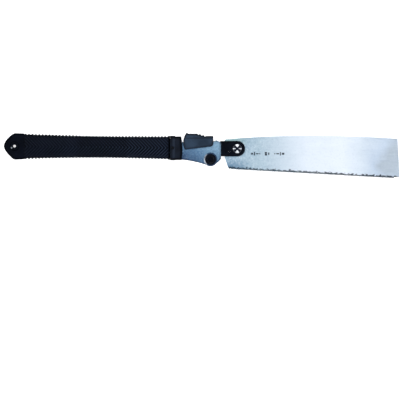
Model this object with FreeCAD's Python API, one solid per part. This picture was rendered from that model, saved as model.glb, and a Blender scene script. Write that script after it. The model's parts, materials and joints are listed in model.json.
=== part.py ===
"""Folding pull saw: a steel frame in a ribbed rubber grip, a thumb lever that locks the blade holder, and a
replaceable blade held in the holder by one screw. Everything is in millimetres.

The saw lies on its side: X runs along it from the hanging hole to the blade tip, Y goes from the teeth to the
back, and Z is its thickness. The sections below are drawn around the pivot axis, with the blade open, and
export() moves every solid so that the hanging hole's axis is the origin.
"""

import math
import os

import FreeCAD
import Part

Vector = FreeCAD.Vector

# ---- fits ----
SNUG = 0.02  # radial gap round a pin that doesn't turn
RUNNING = 0.05  # radial gap where something turns
GAP = 0.1  # gap beside a part that is slid into place
BEYOND = 1.0  # how far a cutting shape reaches past what it cuts

# ---- stack across the pivot: half thicknesses from the middle plane outwards ----
BLADE_T = 0.9
CORE_T = 1.0
HOLDER_PLATE_T = 1.6
WASHER_T = 0.5
FRAME_PLATE_T = 1.6
HOLDER_Z = CORE_T / 2 + HOLDER_PLATE_T
FRAME_IN_Z = HOLDER_Z + WASHER_T + 2 * RUNNING
FRAME_OUT_Z = FRAME_IN_Z + FRAME_PLATE_T

# ---- handle ----
HANG_X, HANG_Y = -288.5, 19.5  # hanging hole, seen from the pivot
SHOULDER_X = -288.5  # where the straight grip turns into the pointed butt
WAIST_X = -148.0
COLLAR_REAR_X = -59.5
COLLAR_FRONT_X = -42.6
BEAD_FRONT_X = -52.2
GRIP_TOP = {SHOULDER_X: 38.8, WAIST_X: 35.0, COLLAR_REAR_X: 34.6}
GRIP_BOTTOM = {SHOULDER_X: -0.6, WAIST_X: 1.2, COLLAR_REAR_X: -0.8}
COLLAR_TOP, COLLAR_BOTTOM = 33.8, -1.1
BEAD_RISE = 0.9
GRIP_HALF_W = 11.0
GRIP_ROUND = 6.5
BUTT_TIP = (-304.4, 19.7)
BUTT_FLANK_X, BUTT_FLANK_H = -298.0, 12.2  # where the butt's two curved flanks are this far from its middle
TOP_WALL = 3.9  # rubber over the frame's back edge
BOTTOM_INSET = 2.1  # frame edge above the rubber's lower edge
SLOT_END_X = -280.0
SLOT_MOUTH_Y = -8.0  # below the lowest edge of the grip
FRAME_TAIL_X = -294.5
FRAME_TAIL_Y = (11.0, 29.5)  # the tail's straight end, between its two cut corners
FRAME_TAIL_LOW_Y = 7.0
REST_FRONT_X, REST_Y = -270.9, 26.2
WINDOWS_X = (-106.0, -168.0, -230.0)
WINDOW_HALF_L, WINDOW_Y, WINDOW_ROUND = 21.0, (10.0, 22.5), 6.0
RIVETS_X = (-75.0, -137.0, -200.0, -262.0)
COLLAR_HALF_W, COLLAR_ROUND = 10.4, 6.0
COLLAR_BOW = 1.3  # how far the collar's front edge bows forward
COLLAR_SCREW_Y, COLLAR_SCREW_R = 17.0, 1.25
COLLAR_HEAD_R, COLLAR_HEAD_T, COLLAR_SINK = 1.95, 1.4, 1.7

# ---- head ----
STEP_X = COLLAR_FRONT_X - 1.6  # the frame steps down here, just inside the collar
CHEEK_TOP_Y = 25.7
CHEEK_NOSE = (8.6, 28.2)
CHEEK_FRONT_X, CHEEK_FRONT_Y = 15.4, (0.0, 24.9)
LOBE_R = 10.3
LOBE_FROM, LOBE_TO = math.radians(-40), math.radians(-129)
THROAT = (-22.0, -3.7)  # a point of the hollow curve behind the lobe
PLATE_EDGE = 0.25

# ---- spine spacer and its spring foot ----
SPINE_H = 4.2
FOOT_Y = (17.0, 19.4)
FOOT_FRONT_X = -26.5
POST_X = (-48.0, -41.2)
SPINE_PLAY = 0.2  # the spacer stays this far inside the plates' edges
POCKET_DEPTH = 1.2

# ---- pivot hardware ----
BOLT_R = 4.0
BOLT_HEAD_R = 9.9
BOLT_HEAD_T = 3.2
BOLT_BEVEL = 1.7
DISH_R, DISH_DEPTH = 5.4, 0.4
SOCKET_AF = 8.0
SOCKET_DEPTH = 2.1
THREAD_END = 1.0  # how far the thread shows past its nut
BUSH_R = 5.0
WASHER_R = 8.6
NUT_AF = 13.0
NUT_T = 4.4
NUT_WASHER_R, NUT_WASHER_T = 8.4, 0.8

# ---- eyelet ----
EYELET_IN_R = 1.9
EYELET_OUT_R = 3.5
EYELET_FLANGE_R = 6.1
EYELET_FLANGE_T = 0.9
EYELET_SEAT_Z = 9.4
EYELET_SEAT_R = 6.8
EYELET_ROUND = 0.5

# ---- lock lever ----
LEVER_PIN = (-19.5, 21.5)
LUG_R = 4.7
PIN_R = 2.0
STOP_PIN_Y = 20.2
LEVER_HALF_W = 2.4
NOTCH_X = 2.9
TOOTH_X = NOTCH_X - 0.55  # the tooth swings forward by this much as it drops
TOOTH_TIP_Y = 27.8
TOOTH_W = 1.8
TOOTH_H = 2.0
TOOTH_SPREAD = 0.4  # how much wider each side of the tooth is at its root
LEVER_REAR_X, LEVER_TAIL_Y, LEVER_TOP_Y = -36.0, 25.8, 32.6
CAP_IN_Z = FRAME_OUT_Z + 0.3
CAP_OUT_Z = CAP_IN_Z + 2.2
CAP_ROOF_Y = 30.6
CAP_HEEL = (-37.6, 14.2)  # the cap's lowest corner, at its rear
CAP_CREST = (-35.3, 39.5)
CAP_FRONT_X = 4.1
CAP_BACK = ((-32.8, 37.9), (-18.6, 37.9), (-6.6, 34.5))  # flat behind the crest, then a slope
CAP_GROOVES_X = (-18.6, -13.8, -9.0)
CAP_GROOVE_L, CAP_GROOVE_DEPTH = 2.4, 1.6
CAP_ROUND = 1.2
SPRING_X = -31.0
SPRING_WIRE_R = 0.3
SPRING_COIL_R = 1.75
SPRING_TURNS = 5

# ---- blade holder ----
BAR_TOP_Y = 27.1
BAR_BOTTOM_Y = 4.4
BAR_END = (39.4, 15.75)
BAR_R = (BAR_TOP_Y - BAR_BOTTOM_Y) / 2
TAIL_X = -9.1
TAIL_CHAMFER = 4.0
HUB_R = 9.6
HUB_NECK_Y = 2.0  # the hub's circle meets the bar's corner at this height
HOLDER_EDGE = 0.3
NOTCH_W, NOTCH_DEPTH = 3.2, 3.7
RIVET_R = 1.5
HOLDER_RIVETS = ((-4.6, 18.5), (8.6, 20.0), (12.8, 9.0))
SCOOP_X, SCOOP_Y = (9.0, 14.2), 24.6  # hollow in the holder's top edge, in front of the cheeks' peak

# ---- blade ----
BLADE_REAR_X = 20.6
TOOTH_LINE = ((30.4, -15.4), (269.8, -28.7))
TEETH = 140
TOOTH_DEPTH = 1.9
TOOTH_RAKE = 0.28  # share of the pitch taken by the steep face, which looks to the handle
TIP_TOP, TIP_BOTTOM = (275.4, 30.3), (278.3, -25.7)
BLADE_REAR_Y = (4.0, 27.6)
HEEL = (27.4, -14.0)
HEEL_BEND = (25.4, -11.0)
BACK = ((195.0, 34.4), (108.0, 34.4), (22.0, 29.5))  # the bowed back, from the tip to the holder
LOCATOR = (27.2, 11.0)
LOCATOR_R = 1.5

# ---- blade screw ----
SCREW_R = 2.5
SCREW_HEAD_R = 6.7
SCREW_HEAD_T = 2.7
SCREW_HEAD_ROUND = 1.7
SCREW_END = 0.6
CROSS_HALF_L, CROSS_HALF_W, CROSS_DEPTH = 5.5, 1.3, 1.7
SCREW_NUT_AF = 9.0
SCREW_NUT_T = 3.2


class Outline:
    """A closed outline in the XY plane: lines, three-point arcs and smooth curves, with rounded corners."""

    def __init__(self, x, y, r=0.0):
        self.start = self.at = Vector(x, y, 0)
        self.edges = []
        self.rounds = [(self.at, r)] if r else []

    def _move(self, edge, end, r):
        self.edges.append(edge)
        self.at = end
        if r:
            self.rounds.append((end, r))
        return self

    def line(self, x, y, r=0.0):
        end = Vector(x, y, 0)
        return self._move(Part.makeLine(self.at, end), end, r)

    def arc(self, middle, x, y, r=0.0):
        end = Vector(x, y, 0)
        bow = Part.Arc(self.at, Vector(*middle, 0), end)
        return self._move(bow.toShape(), end, r)

    def curve(self, *points, r=0.0):
        ends = [self.at] + [Vector(x, y, 0) for x, y in points]
        smooth = Part.BSplineCurve()
        smooth.interpolate(ends)
        return self._move(smooth.toShape(), ends[-1], r)

    def prism(self, low, high):
        if self.at.distanceToPoint(self.start) > 1e-6:
            self.line(self.start.x, self.start.y)
        face = Part.Face(Part.Wire(Part.__sortEdges__(self.edges)))
        solid = face.extrude(Vector(0, 0, high - low))
        solid.translate(Vector(0, 0, low))
        for corner, r in self.rounds:
            solid = solid.makeFillet(r, [e for e in solid.Edges if _stands_on(e, corner)])
        return solid


def _stands_on(edge, corner):
    """Whether a straight edge runs along Z through a corner of an outline."""
    ends = [v.Point for v in edge.Vertexes]
    return len(ends) == 2 and all(math.hypot(p.x - corner.x, p.y - corner.y) < 1e-4 for p in ends)


def box(x, y, z):
    solid = Part.makeBox(x[1] - x[0], y[1] - y[0], z[1] - z[0])
    solid.translate(Vector(x[0], y[0], z[0]))
    return solid


def rod(centre, r, low, high):
    return Part.makeCylinder(r, high - low, Vector(centre[0], centre[1], low))


def hole(centre, r):
    """A cutter for a hole through the whole thickness."""
    return rod(centre, r, -GRIP_HALF_W - BEYOND, GRIP_HALF_W + BEYOND)


def hexagon(centre, across_flats, low, high):
    corner_r = across_flats / math.sqrt(3)
    middle = Vector(*centre, low)
    spokes = [Vector(math.cos(math.radians(60 * k)), math.sin(math.radians(60 * k)), 0) for k in range(7)]
    points = [middle + spoke * corner_r for spoke in spokes]
    return Part.Face(Part.makePolygon(points)).extrude(Vector(0, 0, high - low))


def rim(solid, z):
    """The edges of a solid that lie flat at height z."""
    return [e for e in solid.Edges if abs(e.BoundBox.ZMin - z) < 1e-4 and abs(e.BoundBox.ZMax - z) < 1e-4]


def outer_rim(solid, z):
    """The outer boundary of the largest flat face at height z, without the edges of its holes."""
    level = [f for f in solid.Faces if abs(f.BoundBox.ZMin - z) < 1e-4 and abs(f.BoundBox.ZMax - z) < 1e-4]
    outline = max(level, key=lambda f: f.Area).OuterWire
    return [e for e in solid.Edges if any(e.isSame(o) for o in outline.Edges)]


def mirrored(solid):
    return solid.mirror(Vector(0, 0, 0), Vector(0, 0, 1))


def cut_all(solid, tools):
    for tool in tools:
        solid = solid.cut(tool)
    return solid


def between(table, x):
    """The height of the grip's edge at x, straight between its named stations."""
    xs = sorted(table)
    low, high = (xs[0], xs[1]) if x <= xs[1] else (xs[1], xs[2])
    share = (x - low) / (high - low)
    return table[low] + share * (table[high] - table[low])


def spine_top(x):
    return between(GRIP_TOP, x) - TOP_WALL


# ---- frame ----
PIVOT = (0.0, 0.0)
HANG = (HANG_X, HANG_Y)
SPINE_RIVETS = [(x, spine_top(x) - SPINE_H / 2) for x in RIVETS_X]
STOP_PIN = (TAIL_X - PIN_R - RUNNING, STOP_PIN_Y)
COLLAR_SCREW = ((COLLAR_REAR_X + BEAD_FRONT_X) / 2, COLLAR_SCREW_Y)


def frame_plate():
    """One side plate: the cheek beside the pivot and the long tang inside the grip."""
    tang_low = between(GRIP_BOTTOM, WAIST_X) + BOTTOM_INSET
    shape = Outline(FRAME_TAIL_X, FRAME_TAIL_Y[1], r=2.0)
    shape.line(SHOULDER_X, spine_top(SHOULDER_X), r=2.0)
    shape.line(WAIST_X, spine_top(WAIST_X))
    shape.line(STEP_X, spine_top(COLLAR_REAR_X), r=1.5)
    shape.line(STEP_X, CHEEK_TOP_Y, r=1.0)
    shape.line(CHEEK_NOSE[0] - 5.0, CHEEK_TOP_Y, r=3.0)
    shape.line(*CHEEK_NOSE, r=1.5)
    shape.line(CHEEK_FRONT_X, CHEEK_FRONT_Y[1], r=1.5)
    shape.line(CHEEK_FRONT_X, CHEEK_FRONT_Y[0], r=5.0)
    shape.line(LOBE_R * math.cos(LOBE_FROM), LOBE_R * math.sin(LOBE_FROM))
    shape.arc((0, -LOBE_R), LOBE_R * math.cos(LOBE_TO), LOBE_R * math.sin(LOBE_TO))
    shape.arc(THROAT, COLLAR_FRONT_X, COLLAR_BOTTOM + 0.7)
    shape.line(COLLAR_REAR_X, GRIP_BOTTOM[COLLAR_REAR_X] + BOTTOM_INSET)
    shape.line(WAIST_X, tang_low)
    shape.line(SLOT_END_X + GAP, tang_low, r=1.5)
    shape.line(SLOT_END_X + GAP, FRAME_TAIL_LOW_Y)
    shape.line(SHOULDER_X - 2.0, FRAME_TAIL_LOW_Y, r=2.0)
    shape.line(FRAME_TAIL_X, FRAME_TAIL_Y[0], r=2.0)
    plate = shape.prism(FRAME_IN_Z, FRAME_OUT_Z)
    holes = [hole(PIVOT, BOLT_R + RUNNING), hole(HANG, EYELET_OUT_R + SNUG)]
    holes += [hole(at, PIN_R + SNUG) for at in (LEVER_PIN, STOP_PIN)]
    holes += [hole(at, RIVET_R + SNUG) for at in SPINE_RIVETS]
    holes.append(hole(COLLAR_SCREW, COLLAR_SCREW_R + SNUG))
    plate = cut_all(plate, holes + [window(x) for x in WINDOWS_X])
    return plate.makeChamfer(PLATE_EDGE, outer_rim(plate, FRAME_OUT_Z))


def window(middle_x):
    """A rounded opening that lightens the tang."""
    ends = (middle_x - WINDOW_HALF_L, middle_x + WINDOW_HALF_L)
    block = box(ends, WINDOW_Y, (-FRAME_OUT_Z - BEYOND, FRAME_OUT_Z + BEYOND))
    return block.makeFillet(WINDOW_ROUND, [e for e in block.Edges if e.BoundBox.ZLength > FRAME_OUT_Z])


def spine_spacer():
    """Moulded strip that keeps the plates apart along the back, with the spring's foot and the tail block."""
    rear_x, tail_low = FRAME_TAIL_X + 1.0, FRAME_TAIL_LOW_Y + 1.0
    post_rear, post_front = POST_X
    step_x, step_y = STEP_X - SPINE_PLAY, CHEEK_TOP_Y - SPINE_PLAY
    front_top = spine_top(COLLAR_REAR_X) - SPINE_PLAY
    shape = Outline(rear_x, FRAME_TAIL_Y[1], r=2.0)
    shape.line(SHOULDER_X, spine_top(SHOULDER_X) - SPINE_PLAY)
    shape.line(WAIST_X, spine_top(WAIST_X) - SPINE_PLAY)
    shape.line(step_x, front_top).line(step_x, step_y).line(post_front, step_y, r=1.0)
    shape.line(post_front, FOOT_Y[1], r=1.0)
    shape.line(FOOT_FRONT_X, FOOT_Y[1], r=0.8).line(FOOT_FRONT_X, FOOT_Y[0], r=0.8)
    shape.line(post_rear, FOOT_Y[0], r=1.0)
    shape.line(post_rear, spine_top(COLLAR_REAR_X) - SPINE_H, r=2.0)
    shape.line(WAIST_X, spine_top(WAIST_X) - SPINE_H)
    shape.line(SLOT_END_X, spine_top(SLOT_END_X) - SPINE_H)
    shape.line(SLOT_END_X, tail_low, r=1.0)
    shape.line(SHOULDER_X - 1.0, tail_low, r=1.0)
    shape.line(rear_x, FRAME_TAIL_Y[0], r=2.0)
    strip = shape.prism(-FRAME_IN_Z, FRAME_IN_Z)
    pocket_r = SPRING_COIL_R + SPRING_WIRE_R + 2 * GAP
    seat = Vector(SPRING_X, FOOT_Y[1] - POCKET_DEPTH, 0)
    pocket = Part.makeCylinder(pocket_r, POCKET_DEPTH + BEYOND, seat, Vector(0, 1, 0))
    holes = [hole(at, RIVET_R + SNUG) for at in SPINE_RIVETS] + [hole(HANG, EYELET_OUT_R + SNUG)]
    return cut_all(strip, [pocket] + holes)


def frame_rivets():
    return Part.makeCompound([rod(at, RIVET_R, -FRAME_OUT_Z, FRAME_OUT_Z) for at in SPINE_RIVETS])


def blade_rest():
    """Soft block under the spine that catches the plain end of the blade, beyond its last tooth."""
    rear, front = SLOT_END_X + SNUG, REST_FRONT_X
    shape = Outline(rear, REST_Y).line(front, REST_Y, r=1.0)
    shape.line(front, spine_top(front) - SPINE_H - SNUG).line(rear, spine_top(rear) - SPINE_H - SNUG)
    return shape.prism(-FRAME_IN_Z + SNUG, FRAME_IN_Z - SNUG)


# ---- grip ----
def grip_sleeve():
    """Rubber sleeve over the tang: straight sides, rounded back, pointed butt, open below for the blade."""
    front = COLLAR_REAR_X - GAP
    shape = Outline(front, GRIP_TOP[COLLAR_REAR_X])
    shape.curve((WAIST_X, GRIP_TOP[WAIST_X]), (SHOULDER_X, GRIP_TOP[SHOULDER_X]), r=6.0)
    flanks = [(BUTT_FLANK_X, BUTT_TIP[1] + side * BUTT_FLANK_H) for side in (1, -1)]
    shape.curve(flanks[0], BUTT_TIP, flanks[1], (SHOULDER_X - 1.0, GRIP_BOTTOM[SHOULDER_X]), r=6.0)
    shape.curve((WAIST_X, GRIP_BOTTOM[WAIST_X]), (front, GRIP_BOTTOM[COLLAR_REAR_X]))
    sleeve = shape.prism(-GRIP_HALF_W, GRIP_HALF_W)
    sleeve = rounded_bar(sleeve, GRIP_HALF_W, GRIP_ROUND)
    return cut_all(sleeve, frame_cavity(front + BEYOND) + eyelet_seats())


def rounded_bar(solid, half, r):
    """Rounds the long edges of a prism at its two faces, and leaves its square front end as it is."""
    along = [e for e in rim(solid, half) + rim(solid, -half) if e.BoundBox.XLength > 1.5]
    return solid.makeFillet(r, along)


def frame_cavity(front):
    """The room inside the grip: a slot open below, and a closed pocket for the frame's tail."""
    half = FRAME_OUT_Z + GAP
    slot = Outline(front, SLOT_MOUTH_Y).line(front, spine_top(COLLAR_REAR_X) + GAP)
    slot.line(WAIST_X, spine_top(WAIST_X) + GAP).line(SLOT_END_X, spine_top(SLOT_END_X) + GAP)
    slot.line(SLOT_END_X, SLOT_MOUTH_Y)
    join_x = SLOT_END_X + BEYOND
    tail = Outline(join_x, FRAME_TAIL_LOW_Y - GAP).line(join_x, spine_top(SLOT_END_X) + GAP)
    tail.line(SHOULDER_X, spine_top(SHOULDER_X) + GAP).line(FRAME_TAIL_X - GAP, FRAME_TAIL_Y[1] + GAP)
    tail.line(FRAME_TAIL_X - GAP, FRAME_TAIL_Y[0] - GAP).line(SHOULDER_X - 2.0, FRAME_TAIL_LOW_Y - GAP)
    return [slot.prism(-half, half), tail.prism(-half, half)]


def eyelet_seats():
    seat = rod(HANG, EYELET_SEAT_R, EYELET_SEAT_Z, GRIP_HALF_W + BEYOND)
    return [hole(HANG, EYELET_OUT_R + SNUG), seat, mirrored(seat)]


def hang_eyelet():
    end = EYELET_SEAT_Z + EYELET_FLANGE_T
    tube = rod(HANG, EYELET_OUT_R, -end, end)
    flange = rod(HANG, EYELET_FLANGE_R, EYELET_SEAT_Z, end)
    body = tube.fuse([flange, mirrored(flange)]).removeSplitter()
    body = body.cut(hole(HANG, EYELET_IN_R))
    return body.makeFillet(EYELET_ROUND, rim(body, end) + rim(body, -end))


def grip_collar():
    """Hard ferrule at the front of the grip, with a raised bead at its rear."""
    top, low, middle = COLLAR_TOP, COLLAR_BOTTOM, (COLLAR_TOP + COLLAR_BOTTOM) / 2
    plain = Outline(COLLAR_REAR_X, top).line(COLLAR_FRONT_X - COLLAR_BOW / 2, top)
    plain.arc((COLLAR_FRONT_X + COLLAR_BOW, middle - 2.0), COLLAR_FRONT_X, low).line(COLLAR_REAR_X, low)
    tube = rounded_bar(plain.prism(-COLLAR_HALF_W, COLLAR_HALF_W), COLLAR_HALF_W, COLLAR_ROUND)
    high, deep = top + BEAD_RISE, low - BEAD_RISE / 2
    bead = Outline(COLLAR_REAR_X, high).line(BEAD_FRONT_X, high, r=0.5)
    bead.line(BEAD_FRONT_X, deep, r=0.4).line(COLLAR_REAR_X, deep)
    band = rounded_bar(bead.prism(-GRIP_HALF_W, GRIP_HALF_W), GRIP_HALF_W, GRIP_ROUND)
    half = FRAME_OUT_Z + GAP
    reach = (COLLAR_REAR_X - BEYOND, COLLAR_FRONT_X + COLLAR_BOW + BEYOND)
    slot = box(reach, (SLOT_MOUTH_Y, spine_top(COLLAR_REAR_X) + GAP), (-half, half))
    sink = rod(COLLAR_SCREW, COLLAR_HEAD_R + RUNNING, GRIP_HALF_W - COLLAR_SINK, GRIP_HALF_W + BEYOND)
    body = tube.fuse(band).removeSplitter()
    return cut_all(body, [slot, sink, mirrored(sink), hole(COLLAR_SCREW, COLLAR_SCREW_R + SNUG)])


def collar_screws():
    """Two short screws, one a side, that stop at the plates and leave the blade's slot clear."""
    low, high = GRIP_HALF_W - COLLAR_SINK, GRIP_HALF_W - COLLAR_SINK + COLLAR_HEAD_T
    shank = rod(COLLAR_SCREW, COLLAR_SCREW_R, FRAME_IN_Z + RUNNING, low)
    head = rod(COLLAR_SCREW, COLLAR_HEAD_R, low, high)
    head = head.makeFillet(0.4, rim(head, high))
    x, y = COLLAR_SCREW
    slot = box((x - COLLAR_HEAD_R, x + COLLAR_HEAD_R), (y - 0.3, y + 0.3), (high - 0.7, high + BEYOND))
    screw = shank.fuse(head).cut(slot)
    return Part.makeCompound([screw, mirrored(screw)])


# ---- pivot hardware ----
def pivot_bolt():
    top = FRAME_OUT_Z + BOLT_HEAD_T
    head = rod(PIVOT, BOLT_HEAD_R, FRAME_OUT_Z, top)
    head = head.makeChamfer(BOLT_BEVEL, rim(head, top))
    dish = Part.makeCone(DISH_R, DISH_R + DISH_DEPTH, 2 * DISH_DEPTH, Vector(0, 0, top - DISH_DEPTH))
    socket = hexagon(PIVOT, SOCKET_AF, top - SOCKET_DEPTH, top + BEYOND)
    end = -(FRAME_OUT_Z + NUT_WASHER_T + NUT_T + THREAD_END)
    shank = threaded_end(rod(PIVOT, BOLT_R, end, FRAME_OUT_Z + GAP), end)
    return head.fuse(shank).removeSplitter().cut(dish).cut(socket)


def threaded_end(shank, end):
    return shank.makeChamfer(0.6, rim(shank, end))


def nut(centre, across_flats, shank_r, low, high):
    """A hexagon nut whose corners are turned down to a cone at its outer face."""
    flat_r = across_flats / 2 - GAP
    turned = Part.makeCone(flat_r, flat_r + 2 * (high - low), high - low, Vector(*centre, low))
    return hexagon(centre, across_flats, low, high).common(turned).cut(hole(centre, shank_r + SNUG))


def pivot_nut():
    face = -FRAME_OUT_Z - NUT_WASHER_T
    return nut(PIVOT, NUT_AF, BOLT_R, face - NUT_T, face)


def collar_ring(outer, inner, low, high):
    return rod(PIVOT, outer, low, high).cut(hole(PIVOT, inner))


def nut_washer():
    return collar_ring(NUT_WASHER_R, BOLT_R + SNUG, -FRAME_OUT_Z - NUT_WASHER_T, -FRAME_OUT_Z)


def pivot_bush():
    return collar_ring(BUSH_R, BOLT_R + SNUG, -FRAME_IN_Z + SNUG, FRAME_IN_Z - SNUG)


def pivot_washer():
    low = HOLDER_Z + RUNNING
    return collar_ring(WASHER_R, BUSH_R + RUNNING, low, low + WASHER_T)


def cross_pin(at):
    pin = rod(at, PIN_R, -FRAME_OUT_Z, FRAME_OUT_Z)
    return pin.makeChamfer(PLATE_EDGE, rim(pin, FRAME_OUT_Z) + rim(pin, -FRAME_OUT_Z))


# ---- lock lever ----
def lever():
    """Steel rocker between the cheeks: its tooth drops into the notch, its rear stands on the spring."""
    px, py = LEVER_PIN
    tip_rear, tip_front = TOOTH_X - TOOTH_W / 2, TOOTH_X + TOOTH_W / 2
    root_y = TOOTH_TIP_Y + TOOTH_H
    shape = Outline(LEVER_REAR_X, LEVER_TAIL_Y, r=1.5).line(LEVER_REAR_X, LEVER_TOP_Y, r=1.5)
    shape.line(tip_front + TOOTH_SPREAD, LEVER_TOP_Y, r=0.6).line(tip_front + TOOTH_SPREAD, root_y)
    shape.line(tip_front, TOOTH_TIP_Y).line(tip_rear, TOOTH_TIP_Y).line(tip_rear - TOOTH_SPREAD, root_y)
    shape.line(px + LUG_R, root_y, r=2.0).line(px + LUG_R, py)
    shape.arc((px, py - LUG_R), px - LUG_R, py).line(px - 1.6 * LUG_R, LEVER_TAIL_Y, r=1.0)
    return shape.prism(-LEVER_HALF_W, LEVER_HALF_W).cut(hole(LEVER_PIN, PIN_R + RUNNING))


def lever_cap():
    """Plastic thumb piece moulded over the lever: a grooved back, and two skirts that straddle the cheeks."""
    shape = Outline(*CAP_HEEL, r=CAP_ROUND).curve((-40.2, 25.0), (-38.7, 33.3), CAP_CREST, r=1.0)
    shape.line(*CAP_BACK[0]).line(*CAP_BACK[1]).line(*CAP_BACK[2]).line(CAP_FRONT_X, CAP_BACK[2][1], r=1.0)
    shape.line(CAP_FRONT_X, 24.5).curve((3.3, 20.9), (0.2, 18.9))
    shape.curve((-12.6, 17.3), (-25.5, 15.8), CAP_HEEL)
    cap = shape.prism(-CAP_OUT_Z, CAP_OUT_Z)
    cap = cap.makeFillet(CAP_ROUND, rim(cap, CAP_OUT_Z) + rim(cap, -CAP_OUT_Z))
    saddle = box((CAP_CREST[0] - 20, CAP_FRONT_X + 20), (0, CAP_ROOF_Y), (-CAP_IN_Z, CAP_IN_Z))
    return cut_all(cap, [saddle, lever_pocket()] + [cap_groove(x) for x in CAP_GROOVES_X])


def cap_groove(x):
    """One thumb groove across the cap's sloping back: steep at its rear, easy at its front."""
    (_, _), (high_x, high_y), (low_x, low_y) = CAP_BACK
    slope = (low_y - high_y) / (low_x - high_x)
    y, front = high_y + slope * (x - high_x), x + CAP_GROOVE_L
    shape = Outline(x, y + BEYOND).line(x, y - CAP_GROOVE_DEPTH)
    shape.line(x + CAP_GROOVE_L / 4, y - CAP_GROOVE_DEPTH).line(front, y + slope * CAP_GROOVE_L)
    shape.line(front + BEYOND, y + BEYOND)
    return shape.prism(-CAP_OUT_Z - BEYOND, CAP_OUT_Z + BEYOND)


def lever_pocket():
    """Room in the cap for the top of the steel lever."""
    half = LEVER_HALF_W + SNUG
    ends = (LEVER_REAR_X - SNUG, TOOTH_X + TOOTH_W / 2 + TOOTH_SPREAD + SNUG)
    return box(ends, (CAP_ROOF_Y - BEYOND, LEVER_TOP_Y + SNUG), (-half, half))


def lever_spring():
    """Coil that stands in the spacer's pocket and pushes the lever's rear up."""
    low = FOOT_Y[1] - POCKET_DEPTH + SPRING_WIRE_R + SNUG
    rise = LEVER_TAIL_Y - SPRING_WIRE_R - RUNNING - low
    path = Part.Wire(Part.makeHelix(rise / SPRING_TURNS, rise, SPRING_COIL_R).Edges)
    section = Part.Wire(Part.makeCircle(SPRING_WIRE_R, Vector(SPRING_COIL_R, 0, 0), Vector(0, 1, 0)))
    coil = path.makePipeShell([section], True, True)
    coil.rotate(Vector(0, 0, 0), Vector(1, 0, 0), -90)
    coil.translate(Vector(SPRING_X, low, 0))
    return coil


# ---- blade holder ----
def holder_outline():
    """The holder's side view: round front end, tail with the lock notch, and the hub on the pivot."""
    end_x, end_y = BAR_END
    half = NOTCH_W / 2
    shape = Outline(end_x, BAR_TOP_Y)
    shape.arc((end_x + BAR_R, end_y), end_x, BAR_BOTTOM_Y)
    shape.line(HUB_R - 0.6, BAR_BOTTOM_Y, r=1.5)
    shape.line(math.sqrt(HUB_R**2 - HUB_NECK_Y**2), HUB_NECK_Y)
    shape.arc((0, -HUB_R), TAIL_X, math.sqrt(HUB_R**2 - TAIL_X**2))
    shape.line(TAIL_X, BAR_TOP_Y - TAIL_CHAMFER).line(TAIL_X + TAIL_CHAMFER, BAR_TOP_Y)
    shape.line(NOTCH_X - half, BAR_TOP_Y).line(NOTCH_X - half / 2, BAR_TOP_Y - NOTCH_DEPTH)
    shape.line(NOTCH_X + half / 2, BAR_TOP_Y - NOTCH_DEPTH).line(NOTCH_X + half, BAR_TOP_Y)
    shape.line(SCOOP_X[0], BAR_TOP_Y).line(SCOOP_X[0] + 1.0, SCOOP_Y, r=1.0)
    shape.line(SCOOP_X[1], SCOOP_Y, r=0.6).line(SCOOP_X[1], BAR_TOP_Y)
    return shape


def holder_holes():
    holes = [hole(PIVOT, BUSH_R + RUNNING), hole(BAR_END, SCREW_R + GAP), hole(LOCATOR, LOCATOR_R + SNUG)]
    return holes + [hole(at, RIVET_R + SNUG) for at in HOLDER_RIVETS]


def holder_plate():
    plate = cut_all(holder_outline().prism(CORE_T / 2, HOLDER_Z), holder_holes())
    return plate.makeChamfer(HOLDER_EDGE, outer_rim(plate, HOLDER_Z))


def holder_core():
    """Spacer between the plates, from the tail to the end of the blade."""
    core = holder_outline().prism(-CORE_T / 2, CORE_T / 2)
    reach = (TAIL_X - BEYOND, BLADE_REAR_X - 3 * GAP)
    behind_blade = box(reach, (-2 * HUB_R, 2 * BAR_TOP_Y), (-CORE_T, CORE_T))
    return cut_all(core.common(behind_blade), holder_holes())


def holder_rivets():
    return Part.makeCompound([rod(at, RIVET_R, -HOLDER_Z, HOLDER_Z) for at in HOLDER_RIVETS])


def blade_locator():
    return rod(LOCATOR, LOCATOR_R, -HOLDER_Z, HOLDER_Z)


def blade_screw():
    """Broad cross-headed screw that clamps the blade between the holder plates."""
    top = HOLDER_Z + SCREW_HEAD_T
    head = rod(BAR_END, SCREW_HEAD_R, HOLDER_Z, top)
    head = head.makeFillet(SCREW_HEAD_ROUND, rim(head, top))
    end = -(HOLDER_Z + SCREW_NUT_T + SCREW_END)
    body = head.fuse(threaded_end(rod(BAR_END, SCREW_R, end, HOLDER_Z + GAP), end)).removeSplitter()
    x, y = BAR_END
    for turn in (45, 135):
        arm = box((x - CROSS_HALF_L, x + CROSS_HALF_L), (y - CROSS_HALF_W, y + CROSS_HALF_W),
                  (top - CROSS_DEPTH, top + BEYOND))
        arm.rotate(Vector(x, y, 0), Vector(0, 0, 1), turn)
        body = body.cut(arm)
    return body


def blade_nut():
    return nut(BAR_END, SCREW_NUT_AF, SCREW_R, -HOLDER_Z - SCREW_NUT_T, -HOLDER_Z)


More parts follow.
